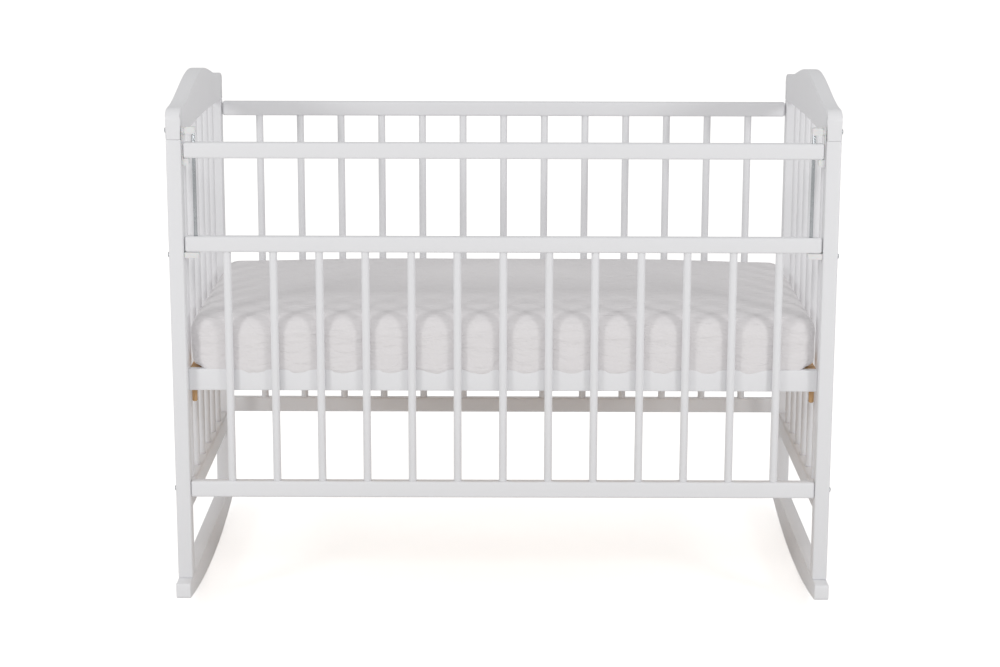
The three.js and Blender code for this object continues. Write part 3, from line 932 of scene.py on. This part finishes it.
class CRIB_OT_bolts(CribOperator):
    """Domed zinc bolts with a hexagon socket, through the posts and the end boards"""

    bl_idname = "crib.bolts"
    bl_label = "Bolts"

    def build(self, sizes):
        low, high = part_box("pivot_bolt_left")
        centre = (low + high) / 2
        under_head = low.x + sizes.bolt_dome
        head = start_rod("bolt_head", centre, sizes.bolt_head, low.x, under_head, 48, X)
        round_edges(
            head, sizes.bolt_dome * 0.9, 6,
            lambda e: is_sharp(e) and near(middle_of(e).x, low.x, 0.2 * MM),
        )
        key = start_rod("key", centre, sizes.bolt_key, low.x - 1 * MM, low.x + 2 * MM, 6, X)
        combine(head, key, "DIFFERENCE")
        shank = start_rod("shank", centre, sizes.bolt_shank, under_head, high.x, 32, X)
        round_edges(shank, sizes.end_edge, 2, is_sharp)
        pivot = join([copy_piece(head, "head"), shank], "pivot_bolt_left_steel")
        smooth(pivot)
        smooth(head)
        steel = zinc_plated_steel()
        other = mirror_piece(pivot, "pivot_bolt_right_steel")
        finish_piece(pivot, steel, replaces=["pivot_bolt_left"])
        finish_piece(other, steel, replaces=["pivot_bolt_right"])
        holder_low, holder_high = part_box("lower_rod_holder_left")
        heights = {
            "front": {
                "holder": (holder_low.z + holder_high.z) / 2,
                "bottom": self.middle("front_bottom_rail"),
            },
            "back": {
                "top": self.middle("back_top_rail"),
                "bottom": self.middle("back_bottom_rail"),
            },
        }
        for side, places in heights.items():
            y = SIDES[side] * abs(centre.y)
            for place, z in places.items():
                shift = (0, y - centre.y, z - centre.z)
                left = copy_piece(head, f"bolt_{side}_{place}_left_steel", shift)
                right = mirror_piece(left, f"bolt_{side}_{place}_right_steel")
                finish_piece(left, steel)
                finish_piece(right, steel)
        bpy.data.objects.remove(head)
        self.countersunk(sizes, steel)

    def middle(self, cad_node):
        low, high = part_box(cad_node)
        return (low.z + high.z) / 2

    def countersunk(self, sizes, steel):
        """Flush screws that hold the rails of the base through the posts."""
        low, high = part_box("deck_rail_front")
        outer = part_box("post_front_left")[0].x
        centre = Vector((0, (low.y + high.y) / 2, (low.z + high.z) / 2))
        for side in SIDES:
            place = Vector((0, abs(centre.y) * SIDES[side], centre.z))
            screw = start_rod(
                f"base_screw_{side}_left_steel", place, sizes.bolt_head * 0.9,
                outer - 0.25 * MM, outer + 0.05 * MM, 40, X,
            )
            round_edges(screw, 0.2 * MM, 2, lambda e: is_sharp(e) and middle_of(e).x < outer)
            smooth(screw)
            other = mirror_piece(screw, f"base_screw_{side}_right_steel")
            finish_piece(screw, steel)
            finish_piece(other, steel)


class CRIB_OT_base(CribOperator):
    """The slatted base: two rails, two ledgers, fourteen slats and four pegs"""

    bl_idname = "crib.base"
    bl_label = "Slatted base"

    def build(self, sizes):
        for side in SIDES:
            cad_node = f"deck_rail_{side}"
            rail = start_box(cad_node + "_wood", *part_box(cad_node))
            round_edges(rail, sizes.board_edge, 4, lambda e: along(e, X))
            round_edges(rail, sizes.end_edge, 2, is_sharp)
            smooth(rail)
            finish_piece(rail, painted_birch("X"), replaces=[cad_node])
        self.slats(sizes)
        self.pegs(sizes)

    def slats(self, sizes):
        low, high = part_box("slat_deck")
        under = high.z - sizes.slat_thickness
        slat = start_box(
            "slat_01_wood", (low.x, low.y, under), (low.x + sizes.slat, high.y, high.z)
        )
        round_edges(slat, sizes.slat_edge, 3, is_sharp)
        pitch = (high.x - low.x - sizes.slat) / 13
        slats = [slat]
        for i in range(1, 14):
            slats.append(copy_piece(slat, f"slat_{i + 1:02d}_wood", (i * pitch, 0, 0)))
        ledgers = []
        for side in SIDES:
            y = sorted((SIDES[side] * high.y, SIDES[side] * (high.y - sizes.ledger)))
            ledger = start_box(
                f"ledger_{side}_wood", (low.x, y[0], low.z), (high.x, y[1], under)
            )
            round_edges(ledger, sizes.slat_edge, 3, is_sharp)
            ledgers.append(ledger)
        for end in ENDS:
            for side in SIDES:
                peg_low, peg_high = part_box(f"deck_peg_{side}_{end}")
                column = 0 if end == "left" else -1
                for piece in (slats[column], ledgers[list(SIDES).index(side)]):
                    drill(
                        piece, (peg_low + peg_high) / 2, sizes.peg + 2 * sizes.socket_gap,
                        peg_low.z, high.z + 5 * MM,
                    )
        for piece in slats:
            smooth(piece)
            finish_piece(piece, planed_birch("Y"))
        for piece in ledgers:
            smooth(piece)
            finish_piece(piece, planed_birch("X"))
        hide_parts("slat_deck")

    def pegs(self, sizes):
        for end in ENDS:
            for side in SIDES:
                cad_node = f"deck_peg_{side}_{end}"
                low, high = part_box(cad_node)
                peg = start_rod(cad_node + "_wood", (low + high) / 2, sizes.peg, low.z, high.z, 32)
                round_edges(
                    peg, sizes.peg_chamfer, 1,
                    lambda e: is_sharp(e) and near(middle_of(e).z, low.z),
                )
                smooth(peg)
                finish_piece(peg, planed_birch("Z"), replaces=[cad_node])


class CRIB_OT_mattress(CribOperator):
    """A foam mattress in its case, with a fitted cotton cover drawn over it"""

    bl_idname = "crib.mattress"
    bl_label = "Mattress and cover"

    def build(self, sizes):
        low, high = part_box("mattress")
        core = self.core(sizes, low, high)
        cover = self.cover(sizes, core, low)
        with editing(core, "FACE") as mesh:
            pick(mesh, mesh.faces, lambda f: middle_of(f).z > low.z + 5 * MM)
            bpy.ops.transform.shrink_fatten(value=-sizes.ease)
        finish_piece(core, bonded_ticking(), "mattress", ["mattress"])
        finish_piece(cover, woven_cotton(), "mattress")

    def core(self, sizes, low, high):
        """Foam with rounded corners, softer round the top than round the bottom."""
        grown = Vector((sizes.press_end, sizes.press_side, 0))
        top = high.z + 1 * MM
        core = start_box("mattress_core", low - grown + Z * MM, (*(high + grown).xy, top))
        round_edges(core, sizes.corner_round, 9, lambda e: along(e, Z))
        round_edges(
            core, sizes.edge_round, 7,
            lambda e: is_sharp(e) and all(near(v.co.z, top) for v in e.verts),
        )
        round_edges(
            core, sizes.edge_round * 0.6, 5,
            lambda e: is_sharp(e) and all(near(v.co.z, low.z + 1 * MM) for v in e.verts),
        )
        apply_modifier(core, "REMESH", mode="VOXEL", voxel_size=sizes.cloth_step)
        with editing(core, "VERT") as mesh:
            pick(mesh, mesh.verts, lambda v: v.co.z < low.z + 40 * MM)
            bpy.ops.mesh.hide(unselected=False)
            self.pull(mesh, (0, 0, top), (240 * MM, 120 * MM, 5 * MM), Z * sizes.crown, 380 * MM)
        smooth(core, 60)
        return core

    def cover(self, sizes, core, low):
        """The cover starts on the core, open below, and is drawn over it as cloth."""
        cover = copy_piece(core, "mattress_cover")
        hem_x = core.dimensions.x / 2 - sizes.hem
        hem_y = core.dimensions.y / 2 - sizes.hem
        with editing(cover, "FACE") as mesh:
            pick(
                mesh, mesh.faces,
                lambda f: f.normal.z < -0.9 and abs(middle_of(f).x) < hem_x
                and abs(middle_of(f).y) < hem_y,
            )
            bpy.ops.mesh.delete(type="FACE")
            bpy.ops.mesh.select_all(action="SELECT")
            bpy.ops.transform.shrink_fatten(value=1 * MM)
            bpy.ops.uv.cube_project(cube_size=1, scale_to_bounds=False, correct_aspect=False)
        cover.data.uv_layers[0].name = "weave"
        self.settle_cloth(sizes, cover, core, low)
        apply_modifier(cover, "SUBSURF", levels=1, render_levels=1)
        self.swell(sizes, cover, low)
        self.crease(sizes, cover, low)
        modifier = cover.modifiers.new("Cloth thickness", "SOLIDIFY")
        modifier.thickness = sizes.cloth
        modifier.offset = 1
        smooth(cover, 180)
        return cover

    def swell(self, sizes, cover, low):
        """The lower edge hangs over the base, and the cover swells out between the bars."""
        side = cover.dimensions.y / 2
        along_side = 13 / 2 * sizes.bar_pitch
        with editing(cover, "VERT") as mesh:
            for y in (-side, side):
                self.pull(
                    mesh, (0, y, low.z), (along_side, 12 * MM, 8 * MM),
                    (0, math.copysign(sizes.press_side, y), -sizes.sag), 24 * MM,
                )
                for x in spread(12, sizes.bar_pitch):
                    for z, drop in ((50 * MM, 0), (4 * MM, sizes.sag / 2)):
                        self.pull(
                            mesh, (x, y, low.z + z), (5 * MM, 12 * MM, 12 * MM),
                            (0, math.copysign(sizes.bulge, y), -drop), 40 * MM,
                        )

    def pull(self, mesh, centre, reach, move, fade):
        """Moves the points within a box round a place; the cover follows it and fades out."""
        pick(
            mesh, mesh.verts,
            lambda v: all(near(a, b, c) for a, b, c in zip(v.co, centre, reach)),
        )
        bpy.ops.transform.translate(
            value=move, use_proportional_edit=True,
            proportional_edit_falloff="SMOOTH", proportional_size=fade,
        )

    def crease(self, sizes, cover, low):
        """Folds fan in from the ends, and the elastic gathers the lower edge."""
        reach = cover.dimensions.x / 2
        ends = cover.vertex_groups.new(name="ends")
        edge = cover.vertex_groups.new(name="edge")
        for vertex in cover.data.vertices:
            x, _, z = vertex.co
            ends.add([vertex.index], max(0, 1 - (reach - abs(x)) / (210 * MM)) ** 1.5, "REPLACE")
            edge.add([vertex.index], max(0, 1 - (z - low.z) / (32 * MM)), "REPLACE")
        self.fold(cover, "ends", (5, 1, 1), 34 * MM, sizes.pucker)
        self.fold(cover, "edge", (1, 1, 4), 16 * MM, sizes.pucker / 2)

    def fold(self, cover, group, stretched, spacing, depth):
        """Folds of about one spacing, long in the stretched direction, within a group."""
        bpy.ops.object.select_all(action="DESELECT")
        bpy.ops.object.empty_add()
        frame_of_folds = bpy.context.object
        frame_of_folds.scale = stretched
        bpy.context.view_layer.update()
        cloud = bpy.data.textures.new("folds", "CLOUDS")
        cloud.noise_scale = spacing
        cloud.noise_depth = 2
        apply_modifier(
            cover, "DISPLACE", texture=cloud, texture_coords="OBJECT",
            texture_coords_object=frame_of_folds, vertex_group=group, strength=depth,
            mid_level=0.8,
        )
        bpy.data.objects.remove(frame_of_folds)
        bpy.data.textures.remove(cloud)

    def settle_cloth(self, sizes, cover, core, low):
        """Slack at the corners and along the hem falls into folds; the top stays drawn."""
        slack = cover.vertex_groups.new(name="slack")
        held = cover.vertex_groups.new(name="held")
        reach = core.dimensions.x / 2
        side = core.dimensions.y / 2
        for vertex in cover.data.vertices:
            x, y, z = vertex.co
            from_end = max(0, 1 - (reach - abs(x)) / (150 * MM))
            from_side = max(0, 1 - (side - abs(y)) / (60 * MM))
            below = max(0, 1 - (z - low.z) / (50 * MM))
            amount = min(1, 0.35 + 0.65 * max(from_end * (0.4 + 0.6 * from_side), below))
            slack.add([vertex.index], amount, "REPLACE")
            if below > 0.97 and (reach - abs(x) > 30 * MM or side - abs(y) > 30 * MM):
                held.add([vertex.index], 1, "REPLACE")
        start = [v.co.copy() for v in cover.data.vertices]
        core.modifiers.new("Collision", "COLLISION")
        core.collision.thickness_outer = 0.5 * MM
        core.collision.cloth_friction = 12
        modifier = cover.modifiers.new("Cloth", "CLOTH")
        cloth = modifier.settings
        cloth.quality = 6
        cloth.mass = 0.18
        cloth.tension_stiffness = 25
        cloth.compression_stiffness = 25
        cloth.shear_stiffness = 12
        cloth.bending_stiffness = 0.25
        cloth.shrink_min = 0.0
        cloth.shrink_max = -sizes.slack
        cloth.vertex_group_shrink = "slack"
        cloth.vertex_group_mass = "held"
        cloth.use_pressure = False
        modifier.collision_settings.distance_min = 0.8 * MM
        modifier.collision_settings.use_self_collision = False
        frames = 20
        modifier.point_cache.frame_start = 1
        modifier.point_cache.frame_end = frames
        for i in range(1, frames + 1):
            bpy.context.scene.frame_set(i)
        bpy.context.view_layer.objects.active = cover
        bpy.ops.object.modifier_apply(modifier=modifier.name)
        bpy.context.view_layer.objects.active = core
        bpy.ops.object.modifier_remove(modifier="Collision")
        bpy.context.scene.frame_set(1)
        most = sizes.fold
        for vertex, old in zip(cover.data.vertices, start):
            moved = vertex.co - old
            if moved.length > most:
                vertex.co = old + moved * (most / moved.length)


class CRIB_OT_stage(CribOperator):
    """A pale floor, two compact soft boxes in front, a white sky and the camera"""

    bl_idname = "crib.stage"
    bl_label = "Studio"

    def build(self, sizes):
        bpy.ops.object.select_all(action="DESELECT")
        bpy.ops.mesh.primitive_plane_add(size=60, location=(0, 0, -0.2 * MM))
        floor = bpy.context.object
        floor.name = "studio_floor"
        floor.data.materials.append(studio_floor())
        lights = [
            self.soft_box("key_left", -44, 20, 4.5, 0.8, 32),
            self.soft_box("key_right", 44, 20, 4.5, 0.8, 32),
            self.soft_box("overhead", 0, 80, 3.2, 2.2, 1),
        ]
        # 1.5 m high and 4.5 m away, looking 12.7 degrees down
        bpy.ops.object.camera_add(location=(0, -4.529, 1.492))
        camera = bpy.context.object
        camera.name = "studio_camera"
        camera.rotation_euler = [math.radians(a) for a in (90 - 12.68, -0.13, 0.11)]
        camera.data.sensor_width = 36
        camera.data.lens = 82.06
        bpy.context.scene.camera = camera
        world = bpy.data.worlds.new("white studio")
        bpy.context.scene.world = world
        world.use_nodes = True
        world.node_tree.nodes["Background"].inputs["Color"].default_value = (1, 1, 1, 1)
        world.node_tree.nodes["Background"].inputs["Strength"].default_value = 0.6
        bpy.context.scene.view_settings.view_transform = "Standard"

    def soft_box(self, name, azimuth, elevation, distance, size, power):
        """A square lamp aimed at the middle of the crib; azimuth 0 is in front of it."""
        a, e = math.radians(azimuth), math.radians(elevation)
        out = Vector((math.sin(a) * math.cos(e), -math.cos(a) * math.cos(e), math.sin(e)))
        target = Vector((0, 0, 0.55))
        bpy.ops.object.light_add(type="AREA", location=target + out * distance)
        lamp = bpy.context.object
        lamp.name = name
        lamp.rotation_euler = out.to_track_quat("Z", "Y").to_euler()
        lamp.data.size = size
        lamp.data.energy = power
        return lamp


# --------------------------------------------------------------------- panel

BUILDERS = [
    CRIB_OT_stage,
    CRIB_OT_posts,
    CRIB_OT_rockers,
    CRIB_OT_end_boards,
    CRIB_OT_end_panels,
    CRIB_OT_rails,
    CRIB_OT_bars,
    CRIB_OT_rods,
    CRIB_OT_holders,
    CRIB_OT_bolts,
    CRIB_OT_base,
    CRIB_OT_mattress,
]


class CRIB_PT_panel(bpy.types.Panel):
    """The crib's operators, with its sizes and colours below them"""

    bl_idname = "CRIB_PT_panel"
    bl_label = "Rocking crib"
    bl_space_type = "VIEW_3D"
    bl_region_type = "UI"
    bl_category = "Crib"

    def draw(self, context):
        for builder in BUILDERS:
            self.layout.operator(builder.bl_idname)
        for group in (context.scene.crib_sizes, context.scene.crib_colours):
            box = self.layout.box()
            for key in group.__annotations__:
                box.prop(group, key)


def register():
    for made in (CribSizes, CribColours, *BUILDERS, CRIB_PT_panel):
        bpy.utils.register_class(made)
    bpy.types.Scene.crib_sizes = bpy.props.PointerProperty(type=CribSizes)
    bpy.types.Scene.crib_colours = bpy.props.PointerProperty(type=CribColours)


def unregister():
    del bpy.types.Scene.crib_colours
    del bpy.types.Scene.crib_sizes
    for made in reversed((CribSizes, CribColours, *BUILDERS, CRIB_PT_panel)):
        bpy.utils.unregister_class(made)


def main():
    """Builds the crib piece by piece."""
    register()
    bpy.ops.crib.stage()
    bpy.ops.crib.posts()
    bpy.ops.crib.rockers()
    bpy.ops.crib.end_boards()
    bpy.ops.crib.end_panels()
    bpy.ops.crib.rails()
    bpy.ops.crib.bars()
    bpy.ops.crib.rods()
    bpy.ops.crib.holders()
    bpy.ops.crib.bolts()
    bpy.ops.crib.base()
    bpy.ops.crib.mattress()


if __name__ == "__main__":
    main()
